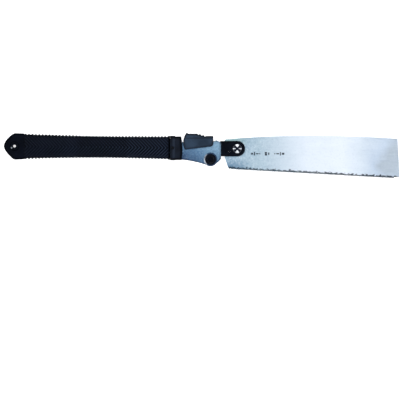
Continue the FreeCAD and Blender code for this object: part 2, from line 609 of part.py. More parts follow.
# ---- blade ----
def blade():
    """Flat blade that widens to its square tip, with a straight toothed edge and a gently bowed back."""
    first, last = (Vector(x, y, 0) for x, y in TOOTH_LINE)
    pitch = (last - first) * (1.0 / TEETH)
    inward = Vector(-pitch.y, pitch.x, 0).normalize() * TOOTH_DEPTH
    first_root = first + inward
    shape = Outline(BLADE_REAR_X, BLADE_REAR_Y[0]).line(*HEEL_BEND, r=3.0).line(*HEEL, r=0.8)
    shape.line(first_root.x, first_root.y)
    for k in range(TEETH):
        tip, root = first + pitch * (k + TOOTH_RAKE), first + pitch * (k + 1) + inward
        shape.line(tip.x, tip.y).line(root.x, root.y)
    shape.line(last.x + 0.5, TIP_BOTTOM[1] - 0.6).line(*TIP_BOTTOM, r=0.4)
    shape.line(*TIP_TOP, r=0.4)
    shape.curve(*BACK)
    shape.line(BLADE_REAR_X, BLADE_REAR_Y[1])
    body = shape.prism(-BLADE_T / 2, BLADE_T / 2)
    return cut_all(body, [hole(BAR_END, SCREW_R + GAP), hole(LOCATOR, LOCATOR_R + SNUG)])


def parts():
    """Every node, by name."""
    plate, washer, holder = frame_plate(), pivot_washer(), holder_plate()
    return {
        "frame_plate_near": plate,
        "frame_plate_far": mirrored(plate),
        "spine_spacer": spine_spacer(),
        "frame_rivets": frame_rivets(),
        "blade_rest": blade_rest(),
        "grip_sleeve": grip_sleeve(),
        "grip_collar": grip_collar(),
        "collar_screws": collar_screws(),
        "hang_eyelet": hang_eyelet(),
        "lever_pin": cross_pin(LEVER_PIN),
        "stop_pin": cross_pin(STOP_PIN),
        "pivot_bolt": pivot_bolt(),
        "pivot_nut": pivot_nut(),
        "nut_washer": nut_washer(),
        "pivot_bush": pivot_bush(),
        "pivot_washer_near": washer,
        "pivot_washer_far": mirrored(washer),
        "lock_lever": lever(),
        "lever_cap": lever_cap(),
        "lever_spring": lever_spring(),
        "holder_plate_near": holder,
        "holder_plate_far": mirrored(holder),
        "holder_core": holder_core(),
        "holder_rivets": holder_rivets(),
        "blade_locator": blade_locator(),
        "blade_screw": blade_screw(),
        "blade_nut": blade_nut(),
        "saw_blade": blade(),
    }


def export(name, shape):
    """Writes one node, moved so that the hanging hole's axis is the origin."""
    placed = shape.copy()
    placed.translate(Vector(-HANG_X, -HANG_Y, 0))
    placed.exportStep(f"parts/{name}.step")
    bounds = placed.BoundBox
    state = "ok" if placed.isValid() and all(s.isClosed() for s in placed.Solids) else "BROKEN"
    print(f"{name:20s} {len(placed.Solids)} solids {placed.Volume:9.1f} mm3  "
          f"{bounds.XLength:6.1f} x {bounds.YLength:5.1f} x {bounds.ZLength:5.1f}  {state}")


os.makedirs("parts", exist_ok=True)
for node, solid in parts().items():
    export(node, solid)
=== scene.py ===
import json
import math

import bmesh
import bpy
import numpy as np
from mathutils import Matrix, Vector
from mathutils.bvhtree import BVHTree


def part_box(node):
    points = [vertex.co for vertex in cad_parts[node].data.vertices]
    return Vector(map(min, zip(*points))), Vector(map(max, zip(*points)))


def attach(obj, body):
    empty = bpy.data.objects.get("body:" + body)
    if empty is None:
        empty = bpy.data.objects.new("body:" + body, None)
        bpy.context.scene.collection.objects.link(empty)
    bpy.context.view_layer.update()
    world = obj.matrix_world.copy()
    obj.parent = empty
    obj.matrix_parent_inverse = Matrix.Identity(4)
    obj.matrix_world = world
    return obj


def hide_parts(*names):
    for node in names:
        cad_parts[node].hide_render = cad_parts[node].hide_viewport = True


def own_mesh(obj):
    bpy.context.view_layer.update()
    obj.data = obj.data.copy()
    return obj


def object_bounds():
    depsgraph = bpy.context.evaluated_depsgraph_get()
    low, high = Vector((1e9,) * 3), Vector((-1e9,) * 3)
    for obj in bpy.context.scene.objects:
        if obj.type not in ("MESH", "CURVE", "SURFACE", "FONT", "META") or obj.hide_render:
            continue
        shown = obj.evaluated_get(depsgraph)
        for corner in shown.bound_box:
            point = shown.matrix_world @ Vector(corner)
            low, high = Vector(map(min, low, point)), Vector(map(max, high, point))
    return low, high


# Folding pull saw, in the row frame: +X towards the blade's tip, +Y towards its back. The scene is in metres.
# The sizes of the grip and the blade below are in mm.
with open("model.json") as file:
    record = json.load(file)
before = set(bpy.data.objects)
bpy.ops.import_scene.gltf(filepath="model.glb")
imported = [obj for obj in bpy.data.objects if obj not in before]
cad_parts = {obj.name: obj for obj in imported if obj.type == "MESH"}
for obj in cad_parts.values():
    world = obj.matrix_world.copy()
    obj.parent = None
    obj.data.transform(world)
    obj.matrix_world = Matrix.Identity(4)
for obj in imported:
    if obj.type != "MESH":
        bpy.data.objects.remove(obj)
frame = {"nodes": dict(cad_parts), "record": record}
cad_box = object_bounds()
nodes = frame["nodes"]
MM = 0.001

# ---- grip sleeve ----
SLEEVE_FLAT_Z = 4.5  # half height of the flat band round the sleeve's outline
SLEEVE_ROUND = 6.5
BUTT_LENGTH = 17.0
STATION_STEP = 0.45  # between two rings of points along the straight grip
BUTT_STATIONS = 44
ROUND_POINTS, FLAT_POINTS, WALL_POINTS = 12, 34, 9  # on each rounded edge, flat side and band, ends included
SHARP_ANGLE = 52  # degrees
RIB_PITCH = 4.85
RIB_DEPTH = 1.1
RIB_EDGE_DEPTH = 0.55  # more depth where the ribs run over the rounded edges
PLAIN_TONE = 0.2  # how light the plain butt is, beside a rib's crest at 1
RIB_SINK = 0.08  # crests stay this far inside the CAD skin
RIBS_FROM, RIBS_TO = 13.0, 227.6
RIB_TURN = 0.75  # radians of the rounded edge after which a rib runs straight across
CROSS_FROM, CROSS_TO = 84.0, 172.0  # the stretch where a second set of ribs crosses the first
CROSS_SHIFT = 1.2

# ---- blade ----
TOOTH_LINE = (Vector((318.9, -34.9, 0)), Vector((558.3, -48.2, 0)))  # through the tips of the teeth
TEETH = 140
TOOTH_DEPTH = 1.9
TOOTH_RAKE = 0.28
TOOTH_SET = 0.28
TOOTH_BEVEL = 0.8
BEND_ABOVE = 0.5  # the set starts this far above the roots
MARKS_Y = -11.2
ON_TIP = 0.05  # mm from the tip line, and share of the pitch, within which a vertex is a tooth's tip

# ---- painted dark borders of faces: openness behind a thin sheet, where its painted dark border ends and where it is full ----
THIN_PLATE = (0.275, 0.16)
THIN_SKIRT = (0.44, 0.30)

# ---- places that the materials use, in metres ----
CAP_ROOF_Y = 0.0111  # the lever cap is hollow below this height
COLLAR_HIGHLIGHT = (0.0030, 0.0075)  # a painted highlight along the collar's bead, from the collar's rear end
BOLT_FACE_R = 0.0083  # the bevel of the bolt's head starts about here
SCREW_RECESS_R = 0.0058
SCREW_RECESS_DEPTH = 0.0004  # below the top of the screw's head
# place of a painted highlight, a small glint on the eyelet's flange
EYELET_GLINT = (-0.0046, -0.0026)

# ---- picture ----
VIEW_CENTRE = (0.2730, -0.0793)
VIEW_WIDTH = 0.5888
CAMERA_Z = 1.5
FLOOR_R = 20.0
FLOOR_GAP = 0.0002  # the saw lies this far above the floor
FLOOR_FADE = (0.8, 3.0)  # the floor turns into the horizon's colour between these distances
HORIZON = (1.0, 1.0, 1.0)
OVERHEAD = (0.46, 0.48, 0.51)
SIDEWAYS = (0.24, 0.26, 0.29)
FLOOR_GLOW = 0.86  # most of the light the camera sees from the floor, which keeps the shadows faint


def srgb(r, g, b):
    """A screen colour, 0 to 255, as linear light."""
    def linear(c):
        c /= 255.0
        return c / 12.92 if c <= 0.04045 else ((c + 0.055) / 1.055) ** 2.4
    return (linear(r), linear(g), linear(b), 1.0)


# ---- meshes ----
def smooth(low, high, v):
    """Rises smoothly from 0 at low to 1 at high."""
    t = np.clip((v - low) / (high - low), 0, 1)
    return t * t * (3 - 2 * t)


def cad_copy(node):
    """A welded bmesh of a CAD node's mesh, in mm."""
    bm = bmesh.new()
    bm.from_mesh(nodes[node].data)
    bmesh.ops.remove_doubles(bm, verts=bm.verts, dist=2e-6)
    bmesh.ops.scale(bm, vec=(1000, 1000, 1000), verts=bm.verts)
    return bm


def add_piece(name, bm, mat, body, node):
    """Makes bm, in mm, a shown piece that stands for a CAD node and rides on its body."""
    bmesh.ops.scale(bm, vec=(MM, MM, MM), verts=bm.verts)
    mesh = bpy.data.meshes.new(name)
    bm.to_mesh(mesh)
    bm.free()
    ob = bpy.data.objects.new(name, mesh)
    bpy.context.scene.collection.objects.link(ob)
    ob.data.materials.append(mat)
    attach(ob, body)
    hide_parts(node)
    return ob


def outline_of(bm):
    """Stations of the sleeve's outline, in mm: x, its upper y and its lower y, read from the CAD mesh."""
    tree = BVHTree.FromBMesh(bm)
    lo, hi = (np.array(c) * 1000 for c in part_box("grip_sleeve"))
    butt = lo[0] + BUTT_LENGTH * (1 - np.cos(np.linspace(0, math.pi / 2, BUTT_STATIONS)))
    xs = np.concatenate([butt[1:], np.arange(butt[-1] + STATION_STEP, hi[0], STATION_STEP)])
    level = SLEEVE_FLAT_Z - 0.05
    rows = []
    for x in xs:
        up = tree.ray_cast(Vector((x, -60, level)), Vector((0, 1, 0)))[0]
        down = tree.ray_cast(Vector((x, 60, level)), Vector((0, -1, 0)))[0]
        rows.append((x, down.y, up.y))
    tip_y = (rows[0][1] + rows[0][2]) / 2
    rows.insert(0, (lo[0] + 1e-4, tip_y, tip_y))
    rows.append((hi[0] + 1.0, rows[-1][1], rows[-1][2]))
    return np.array(rows)


def rib_wave(distance):
    """0 in the valleys to 1 on the crests, along a distance in mm."""
    return 0.5 + 0.5 * np.cos(2 * math.pi * distance / RIB_PITCH)


def ribs_at(co, rows):
    """For points on the sleeve's skin, in mm: the depth cut below it, and 0 in a valley to 1 on a crest."""
    x, y, z = co.T
    top, low = np.interp(x, rows[:, 0], rows[:, 1]), np.interp(x, rows[:, 0], rows[:, 2])
    centre, half = (top + low) / 2, (top - low) / 2
    side = np.abs(y - centre)
    start = half - SLEEVE_ROUND
    turn = np.arctan2(side - start, np.maximum(np.abs(z) - SLEEVE_FLAT_Z, 0) + 1e-6)
    along = np.where(side < start, side, start + SLEEVE_ROUND * np.clip(turn, 0, RIB_TURN))
    ribs, crossing = rib_wave(x + along), rib_wave(x - along + CROSS_SHIFT)
    cross = smooth(CROSS_FROM, CROSS_FROM + 12, x) * (1 - smooth(CROSS_TO - 12, CROSS_TO, x))
    ribs *= 1 - 0.4 * cross * (1 - crossing)
    ribbed = smooth(RIBS_FROM, RIBS_FROM + 3, x) * (1 - smooth(RIBS_TO - 2, RIBS_TO, x))
    depth = RIB_DEPTH + RIB_EDGE_DEPTH * smooth(0.1, 0.8, np.where(side < start, 0, turn))
    return RIB_SINK + depth * ribbed * (1 - ribs), PLAIN_TONE + ribbed * (ribs - PLAIN_TONE)


def skin_points(rows):
    """Rings of points round the sleeve's outer skin, one ring a station, before the ribs."""
    corner = np.linspace(0, math.pi / 2, ROUND_POINTS)
    flat = np.linspace(0, 1, FLAT_POINTS)[1:-1]
    edge = np.array([(row[0], row[1]) for row in rows[:-1]] + [(r[0], r[2]) for r in rows[-2::-1]])
    a, b = edge[:-1], edge[1:]
    rings = []
    for x, top, low in rows:
        half = (top - low) / 2
        r = min(SLEEVE_ROUND, half)
        inset = r * (1 - np.cos(corner))
        ys = np.concatenate([low + inset, low + r + flat * (2 * half - 2 * r), (top - inset)[::-1]])
        p = np.stack([np.full_like(ys, x), ys], 1)
        t = (((p[:, None] - a) * (b - a)).sum(-1) / np.maximum(((b - a) ** 2).sum(-1), 1e-12)).clip(0, 1)
        d = np.linalg.norm(p[:, None] - (a + t[..., None] * (b - a)), axis=-1).min(1)
        short = SLEEVE_ROUND - np.minimum(d, SLEEVE_ROUND)
        z = SLEEVE_FLAT_Z + np.sqrt(SLEEVE_ROUND**2 - short**2)
        near = np.stack([np.full_like(ys, x), ys, z], 1)
        wall = np.linspace(SLEEVE_FLAT_Z, -SLEEVE_FLAT_Z, WALL_POINTS)[1:-1]
        over = np.stack([np.full_like(wall, x), np.full_like(wall, top), wall], 1)
        far = near[::-1] * (1, 1, -1)
        under = np.stack([np.full_like(wall, x), np.full_like(wall, low), -wall], 1)
        rings.append(np.concatenate([near, over, far, under]))
    return np.array(rings)


def sleeve(mat):
    """The ribbed rubber sleeve: a fine skin kept inside the CAD sleeve, with the CAD sleeve's hollows."""
    cad = cad_copy("grip_sleeve")
    rows = outline_of(cad)
    rings = skin_points(rows)
    count, around = rings.shape[:2]
    bm = bmesh.new()
    verts = [bm.verts.new(p) for p in rings.reshape(-1, 3)]
    for i in range(count - 1):
        for j in range(around):
            k = (j + 1) % around
            here, there = i * around, (i + 1) * around
            bm.faces.new([verts[n] for n in (here + j, there + j, there + k, here + k)])
    bm.faces.new([verts[(count - 1) * around + j] for j in range(around)])
    bmesh.ops.remove_doubles(bm, verts=bm.verts, dist=5e-3)
    bmesh.ops.recalc_face_normals(bm, faces=bm.faces)
    bm.normal_update()
    co = np.array([v.co for v in bm.verts])
    for v, d in zip(bm.verts, ribs_at(co, rows)[0]):
        v.co -= v.normal * d
    ob = add_piece("grip_skin", bm, mat, "handle", "grip_sleeve")
    bmesh.ops.scale(cad, vec=(MM, MM, MM), verts=cad.verts)
    hollow = bpy.data.meshes.new("sleeve_hollow")
    cad.to_mesh(hollow)
    cad.free()
    cutter = bpy.data.objects.new("sleeve_hollow", hollow)
    bpy.context.scene.collection.objects.link(cutter)
    cut = ob.modifiers.new("hollow", "BOOLEAN")
    cut.operation, cut.solver, cut.object = "INTERSECT", "EXACT", cutter
    bpy.context.view_layer.update()
    done = bpy.data.meshes.new_from_object(ob.evaluated_get(bpy.context.evaluated_depsgraph_get()))
    ob.modifiers.clear()
    ob.data = done
    bpy.data.objects.remove(cutter)
    bpy.data.meshes.remove(hollow)
    done.materials.clear()
    done.materials.append(mat)
    for p in done.polygons:
        p.use_smooth = True
    done.set_sharp_from_angle(angle=math.radians(SHARP_ANGLE))
    co = np.array([v.co for v in done.vertices]) * 1000
    crest = done.attributes.new("crest", "FLOAT", "POINT")
    crest.data.foreach_set("value", ribs_at(co, rows)[1].astype(np.float32))


def blade(mat):
    """The blade with its teeth bevelled and set to alternate sides."""
    bm = cad_copy("saw_blade")
    first, last = TOOTH_LINE
    run = (last - first).normalized()
    up = Vector((-run.y, run.x, 0))
    pitch = (last - first).length / TEETH
    bmesh.ops.bisect_plane(
        bm, geom=bm.verts[:] + bm.edges[:] + bm.faces[:],
        plane_co=first + up * (TOOTH_DEPTH + BEND_ABOVE), plane_no=up)
    for v in bm.verts:
        from_line = v.co - first
        step = from_line.dot(run) / pitch - TOOTH_RAKE
        k = round(step)
        if abs(from_line.dot(up)) < ON_TIP and abs(step - k) < ON_TIP and 0 <= k < TEETH:
            side = 1 if k % 2 else -1
            if v.co.z * side < 0:
                v.co += up * TOOTH_BEVEL
            v.co.z += side * TOOTH_SET
    ob = add_piece("blade_sheet", bm, mat, "blade_arm", "saw_blade")


# ---- materials ----
class Paint:
    """The node graph of one material. Sizes given to it are in mm, and places in metres."""

    SOCKETS = {"color": "Base Color", "rough": "Roughness", "metal": "Metallic", "shine": "Specular IOR Level",
               "normal": "Normal"}

    def __init__(self, name, **values):
        self.mat = bpy.data.materials.new(name)
        self.mat.use_nodes = True
        self.tree = self.mat.node_tree
        self.shader = self.tree.nodes["Principled BSDF"]
        self.place = self.node("ShaderNodeTexCoord").outputs["Object"]
        for key, value in values.items():
            self.set(key, value)

    def node(self, kind, **values):
        n = self.tree.nodes.new(kind)
        for key, value in values.items():
            setattr(n, key, value)
        return n

    def feed(self, socket, value):
        if isinstance(value, bpy.types.NodeSocket):
            self.tree.links.new(value, socket)
        else:
            socket.default_value = value

    def set(self, key, value):
        self.feed(self.shader.inputs[self.SOCKETS[key]], value)

    def noise(self, size, detail=3.0, stretch=(1, 1, 1), contrast=0.5):
        """Cloudy noise with features of this size; stretch lengthens them along an axis."""
        move = self.node("ShaderNodeMapping")
        self.feed(move.inputs["Vector"], self.place)
        move.inputs["Scale"].default_value = [1 / s for s in stretch]
        n = self.node("ShaderNodeTexNoise")
        self.feed(n.inputs["Vector"], move.outputs[0])
        n.inputs["Scale"].default_value = 1000.0 / size
        n.inputs["Detail"].default_value = detail
        n.inputs["Roughness"].default_value = contrast
        return n.outputs["Fac"]

    def math(self, kind, a, b=0.0, clamp=False):
        n = self.node("ShaderNodeMath", operation=kind, use_clamp=clamp)
        self.feed(n.inputs[0], a)
        self.feed(n.inputs[1], b)
        return n.outputs[0]

    def ramp(self, value, low, high, out=(0.0, 1.0)):
        """Maps low..high to out, smoothly."""
        n = self.node("ShaderNodeMapRange", interpolation_type="SMOOTHSTEP")
        given = {"Value": value, "From Min": low, "From Max": high, "To Min": out[0], "To Max": out[1]}
        for key, v in given.items():
            self.feed(n.inputs[key], v)
        return n.outputs["Result"]

    def mix(self, share, a, b):
        n = self.node("ShaderNodeMix", data_type="RGBA")
        self.feed(n.inputs[0], share)
        self.feed(n.inputs[6], a)
        self.feed(n.inputs[7], b)
        return n.outputs[2]

    def bands(self, value, *stops):
        """A colour ramp with (place, colour) stops."""
        n = self.node("ShaderNodeValToRGB")
        self.feed(n.inputs[0], value)
        ramp = n.color_ramp
        while len(ramp.elements) < len(stops):
            ramp.elements.new(0.5)
        for e, (at, color) in zip(ramp.elements, stops):
            e.position, e.color = at, color
        return n.outputs[0]

    def xyz(self):
        n = self.node("ShaderNodeSeparateXYZ")
        self.feed(n.inputs[0], self.place)
        return n.outputs

    def near(self, value, centre, half):
        """1 where value is within half of centre."""
        out = self.math("COMPARE", value, centre)
        out.node.inputs[2].default_value = half
        return out

    def reach(self, x, y):
        """Distance from an upright line at x, y, in metres."""
        flat = self.node("ShaderNodeVectorMath", operation="MULTIPLY_ADD")
        self.feed(flat.inputs[0], self.place)
        flat.inputs[1].default_value = (1, 1, 0)
        flat.inputs[2].default_value = (-x, -y, 0)
        length = self.node("ShaderNodeVectorMath", operation="LENGTH")
        self.feed(length.inputs[0], flat.outputs[0])
        return length.outputs["Value"]

    def edge(self, radius):
        """1 on edges, 0 on flats, and the rounded normal that goes with it."""
        round_ = self.node("ShaderNodeBevel", samples=6)
        round_.inputs["Radius"].default_value = radius * MM
        here = self.node("ShaderNodeNewGeometry").outputs["Normal"]
        dot = self.node("ShaderNodeVectorMath", operation="DOT_PRODUCT")
        self.feed(dot.inputs[0], round_.outputs[0])
        self.feed(dot.inputs[1], here)
        away = self.math("SUBTRACT", 1.0, dot.outputs["Value"])
        return self.math("MULTIPLY", away, 3.0, clamp=True), round_.outputs[0]

    def border(self, width, levels=(0.985, 0.84)):
        """A mask for painted borders of light and shade: 1 along the outline of a face, fading over this
        width: near an edge, a wall is close behind it.

        The levels are the openness behind the face where the border ends and where it is full. They are lower
        for a sheet thinner than the width, whose far side is also close behind.
        """
        n = self.node("ShaderNodeAmbientOcclusion", samples=8, inside=True, only_local=True)
        n.inputs["Distance"].default_value = width * MM
        return self.ramp(n.outputs["AO"], *levels)

    def slant(self, full=0.75, upright=0.5):
        """A mask for painted light and shade on tilted surfaces: 1 on the rounded rims of flat faces, 0 on the
        faces, and a share on upright walls.

        All joints turn about z, so it holds at every pose.
        """
        up = self.node("ShaderNodeSeparateXYZ")
        self.feed(up.inputs[0], self.node("ShaderNodeNewGeometry").outputs["Normal"])
        level = self.math("ABSOLUTE", up.outputs[2])
        rim = self.ramp(level, 0.985, full)
        return self.math("MULTIPLY", rim, self.ramp(level, 0.02, 0.25, (upright, 1.0)))

    def bump(self, height, depth, normal=None):
        n = self.node("ShaderNodeBump")
        n.inputs["Distance"].default_value = depth * MM
        self.feed(n.inputs["Height"], height)
        if normal is not None:
            self.feed(n.inputs["Normal"], normal)
        self.set("normal", n.outputs[0])


def grip_rubber():
    p = Paint("grip_rubber")
    attribute = p.node("ShaderNodeAttribute", attribute_name="crest").outputs["Fac"]
    cloud = p.noise(26, 4)
    dust = p.noise(3.5, 5)
    base = p.mix(p.ramp(cloud, 0.3, 0.7), srgb(5, 7, 12), srgb(9, 12, 21))
    # painted highlight on the rib crests, weaker towards the butt
    wear_and_highlights = p.ramp(p.xyz()[0], 0.03, 0.16, (0.25, 0.95))
    base = p.mix(p.math("MULTIPLY", p.ramp(attribute, 0.4, 1.0), wear_and_highlights), base, srgb(32, 40, 55))
    base = p.mix(p.ramp(dust, 0.6, 0.8, (0.0, 0.2)), base, srgb(38, 44, 56))
    # painted shade on the rounded rims and upright walls
    base = p.mix(p.slant(0.3, 0.6), base, srgb(3, 4, 7))
    p.set("color", base)
    p.set("rough", p.ramp(dust, 0.2, 0.8, (0.48, 0.7)))
    p.set("shine", p.ramp(attribute, 0.2, 0.6, (0.012, 0.035)))
    p.bump(p.noise(0.45, 2), 0.05)
    return p.mat


def moulded(name, dark, light, painted_rim_color, rough=(0.42, 0.6), shine=0.12, highlight_band=None, border=0.8, skirt=None):
    """Moulded plastic: fine grain, slow tone changes and a painted border on its outline and rims in its rim
    colour: painted shade where that is darker, a painted highlight where it is lighter.

    A highlight band (low x, high x, colour) is a painted highlight in its own colour. Below the height skirt,
    the wall is thinner than the border.
    """
    p = Paint(name, shine=shine)
    _, normal = p.edge(0.6)
    base = p.mix(p.ramp(p.noise(14, 4), 0.3, 0.72), dark, light)
    base = p.mix(p.ramp(p.noise(0.8, 3), 0.45, 0.75, (0.0, 0.35)), base, light)
    # painted highlight along a band across x
    if highlight_band:
        x = p.xyz()[0]
        low, high, tone = highlight_band
        inside = p.math("MULTIPLY", p.ramp(x, low, low + 0.0012), p.ramp(x, high, high - 0.0012))
        base = p.mix(p.math("MULTIPLY", inside, 0.75), base, tone)
    # painted border along the outline and rims in the rim colour: painted shade where it is darker than the
    # plastic, a painted highlight where lighter
    rim = p.border(border)
    if skirt is not None:
        thin = p.ramp(p.xyz()[1], skirt + 0.0003, skirt - 0.0003)
        rim = p.mix(thin, rim, p.border(border, THIN_SKIRT))
    mask = p.math("MAXIMUM", rim, p.slant(upright=0.3))
    base = p.mix(p.math("MULTIPLY", mask, 0.85), base, painted_rim_color)
    p.set("color", base)
    p.set("rough", p.ramp(p.noise(2.2, 3), 0.25, 0.75, rough))
    p.bump(p.noise(0.35, 2), 0.035, normal)
    return p.mat


def plated_steel():
    """Satin plate with a fine speckle; painted light and shade make it lighter towards the blade and the top
    and deeper blue below.
    """
    p = Paint("plated_steel", metal=0.6)
    x, y, _ = p.xyz()
    # painted light and shade: lighter towards the blade and the top, deeper blue below
    along = p.ramp(x, 0.240, 0.304)
    up = p.ramp(y, -0.026, 0.006)
    tone = p.math("ADD", p.math("MULTIPLY", along, 0.55), p.math("MULTIPLY", up, 0.45))
    tone = p.math("ADD", tone, p.math("MULTIPLY", p.math("SUBTRACT", p.noise(7, 4), 0.5), 0.5))
    base = p.bands(tone, (0.0, srgb(28, 58, 98)), (0.5, srgb(94, 132, 166)), (1.0, srgb(140, 178, 204)))
    speck = p.noise(1.3, 4, contrast=0.75)
    base = p.mix(p.ramp(speck, 0.5, 0.68, (0.0, 0.28)), base, srgb(180, 200, 212))
    base = p.mix(p.ramp(speck, 0.5, 0.34, (0.0, 0.45)), base, srgb(54, 80, 116))
    _, normal = p.edge(0.5)
    # painted shade along the plate's outline and rims
    mask = p.math("MAXIMUM", p.border(3.0, THIN_PLATE), p.slant())
    base = p.mix(p.math("MULTIPLY", mask, 0.9), base, srgb(14, 24, 38))
    p.set("color", base)
    p.set("rough", p.ramp(speck, 0.3, 0.7, (0.34, 0.52)))
    p.bump(p.noise(0.35, 2), 0.02, normal)
    return p.mat


def black_steel(name="black_steel", rough=(0.22, 0.36), ring=None, glint_spot=None):
    """Black oxide with worn edges and faint scratches.

    A ring (x, y, radius) is painted a lighter slate blue outside that radius, a painted reflection on the
    bevel, with a painted highlight, a bright crescent, on the side of the handle. A glint spot (x, y) is a
    small painted highlight.
    """
    p = Paint(name, shine=0.045)
    mask, normal = p.edge(0.45)
    scratch = p.ramp(p.noise(1.6, 4, stretch=(14, 1, 1), contrast=0.65), 0.66, 0.85, (0.0, 0.12))
    # real edge wear; the painted highlights below are added to it
    wear_and_highlights = p.math("MULTIPLY", mask, p.ramp(p.noise(1.8, 4), 0.35, 0.65, (0.02, 0.12)))
    base = p.mix(p.ramp(p.noise(7, 3), 0.3, 0.7), srgb(4, 6, 12), srgb(8, 12, 21))
    if ring:
        # painted reflection: the bevel of the bolt's head, outside the radius, is painted a lighter slate blue
        outside = p.ramp(p.reach(ring[0], ring[1]), ring[2] - 0.0004, ring[2] + 0.0004)
        base = p.mix(p.math("MULTIPLY", outside, 0.85), base, srgb(52, 72, 98))
    base = p.mix(scratch, base, srgb(40, 46, 58))
    if ring:
        # painted highlight: a bright crescent on the bevel, towards the handle
        rear = p.ramp(p.math("SUBTRACT", p.xyz()[0], ring[0]), -0.0040, -0.0085)
        patchy = p.ramp(p.noise(2.0, 3), 0.3, 0.5, (0.6, 1.0))
        crescent_glint = p.math("MULTIPLY", p.math("MULTIPLY", outside, rear), patchy)
        wear_and_highlights = p.math("MAXIMUM", wear_and_highlights, crescent_glint)
    if glint_spot:
        # painted highlight: a small glint
        wear_and_highlights = p.math("MAXIMUM", wear_and_highlights, p.ramp(p.reach(*glint_spot), 0.0018, 0.0002, (0.0, 0.5)))
    base = p.mix(wear_and_highlights, base, srgb(205, 212, 220))
    p.set("color", base)
    p.set("metal", p.math("MULTIPLY", wear_and_highlights, 0.8))
    p.set("rough", p.ramp(p.noise(2.5, 3), 0.25, 0.75, rough))
    p.bump(p.noise(0.5, 3), 0.02, normal)
    return p.mat


def metal(name, dark, light, rough, metallic=1.0, recess=None):
    """Bare or plated metal with duller patches.

    A recess (x, y, z, radius) is filled with painted shade below the height z. Round it, the head is painted
    dark in four diagonal sectors, a painted shade, which leaves four lit lobes.
    """
    p = Paint(name, metal=metallic)
    mask, normal = p.edge(0.3)
    streak = p.noise(0.5, 4)
    base = p.mix(p.ramp(streak, 0.3, 0.7), dark, light)
    base = p.mix(p.ramp(p.noise(5, 4), 0.55, 0.8, (0.0, 0.4)), base, dark)
    base = p.mix(p.math("MULTIPLY", mask, 0.5), base, light)
    p.set("color", base)
    if recess:
        x, y, z, radius = recess
        px, py, pz = p.xyz()
        away = p.reach(x, y)
        # painted shade fills the recess below height z
        low = p.ramp(pz, z, z - 0.0003)
        deep = p.math("MULTIPLY", low, p.ramp(away, radius + 0.0003, radius - 0.0003))
        u = p.math("DIVIDE", p.math("ABSOLUTE", p.math("SUBTRACT", px, x)), away)
        v = p.math("DIVIDE", p.math("ABSOLUTE", p.math("SUBTRACT", py, y)), away)
        # painted shade: four diagonal sectors of the head are darkened, leaving four lit lobes
        lit_lobes = p.math("MAXIMUM", p.ramp(u, 0.50, 0.34), p.ramp(v, 0.18, 0.07))
        shaded_sectors = p.math("MULTIPLY", p.math("SUBTRACT", 1.0, lit_lobes), p.ramp(pz, z - 0.0016, z - 0.0008))
        deep = p.math("MAXIMUM", deep, p.math("MULTIPLY", shaded_sectors, 0.95))
        p.set("color", p.mix(deep, base, srgb(12, 18, 34)))
        p.set("metal", p.ramp(deep, 0.0, 1.0, (metallic, 0.0)))
        p.set("shine", p.ramp(deep, 0.0, 1.0, (0.5, 0.05)))
    p.set("rough", p.ramp(streak, 0.25, 0.75, rough))
    p.bump(streak, 0.01, normal)
    return p.mat


def blade_steel():
    """Ground steel: fine lengthwise grain, a painted reflection that changes tone slowly along the blade, dark
    teeth, dull marks.
    """
    p = Paint("blade_steel", metal=0.6)
    x, y, _ = p.xyz()
    streak = p.noise(0.7, 4, stretch=(22, 1, 1), contrast=0.55)
    slow = p.noise(34, 3, stretch=(1.5, 1, 1))
    # painted reflection: a slow change of tone along the blade
    at = p.math("ADD", p.ramp(x, 0.300, 0.566), p.math("MULTIPLY", p.math("SUBTRACT", slow, 0.5), 0.16))
    base = p.bands(at, (0.0, srgb(142, 170, 188)), (0.12, srgb(164, 186, 199)), (0.3, srgb(198, 211, 222)),
                   (0.5, srgb(222, 230, 239)), (0.76, srgb(226, 233, 242)), (0.88, srgb(212, 222, 232)),
                   (0.96, srgb(190, 204, 220)), (1.0, srgb(172, 184, 196)))
    base = p.mix(p.ramp(streak, 0.35, 0.7, (0.0, 0.12)), base, srgb(238, 242, 246))
    mottle = p.noise(3.4, 4, contrast=0.75)
    strength = p.ramp(x, 0.41, 0.31, (0.08, 0.55))
    base = p.mix(p.math("MULTIPLY", p.ramp(mottle, 0.5, 0.68), strength), base, srgb(104, 134, 160))
    base = p.mix(p.math("MULTIPLY", p.ramp(mottle, 0.5, 0.34), strength), base, srgb(226, 234, 238))
    heel = p.math("MULTIPLY", p.ramp(y, -0.014, -0.036), p.ramp(x, 0.356, 0.318))
    base = p.mix(p.math("MULTIPLY", heel, 0.95), base, srgb(80, 116, 146))
    # a greenish tint at the blade's top edge near the holder
    greenish_corner = p.math("MULTIPLY", p.ramp(x, 0.352, 0.322), p.ramp(y, -0.001, 0.004))
    base = p.mix(p.math("MULTIPLY", greenish_corner, 0.7), base, srgb(140, 172, 170))
    above = tooth_height(p, x, y)
    ragged = p.math("ADD", above, p.math("MULTIPLY", p.math("SUBTRACT", p.noise(3.6, 3), 0.5), 0.009))
    hard = p.ramp(ragged, 0.0046, 0.0034)
    scorched = p.mix(p.ramp(x, 0.32, 0.56), srgb(40, 56, 68), srgb(14, 24, 36))
    base = p.mix(p.math("MULTIPLY", hard, 0.92), base, scorched)
    mask, normal = p.edge(0.25)
    base = p.mix(p.math("MULTIPLY", mask, 0.5), base, srgb(110, 124, 138))
    base = p.mix(p.math("MULTIPLY", marks(p, x, y), 0.95), base, srgb(16, 22, 34))
    p.set("color", base)
    p.set("rough", p.ramp(streak, 0.25, 0.75, (0.32, 0.46)))
    p.bump(streak, 0.006, normal)
    return p.mat


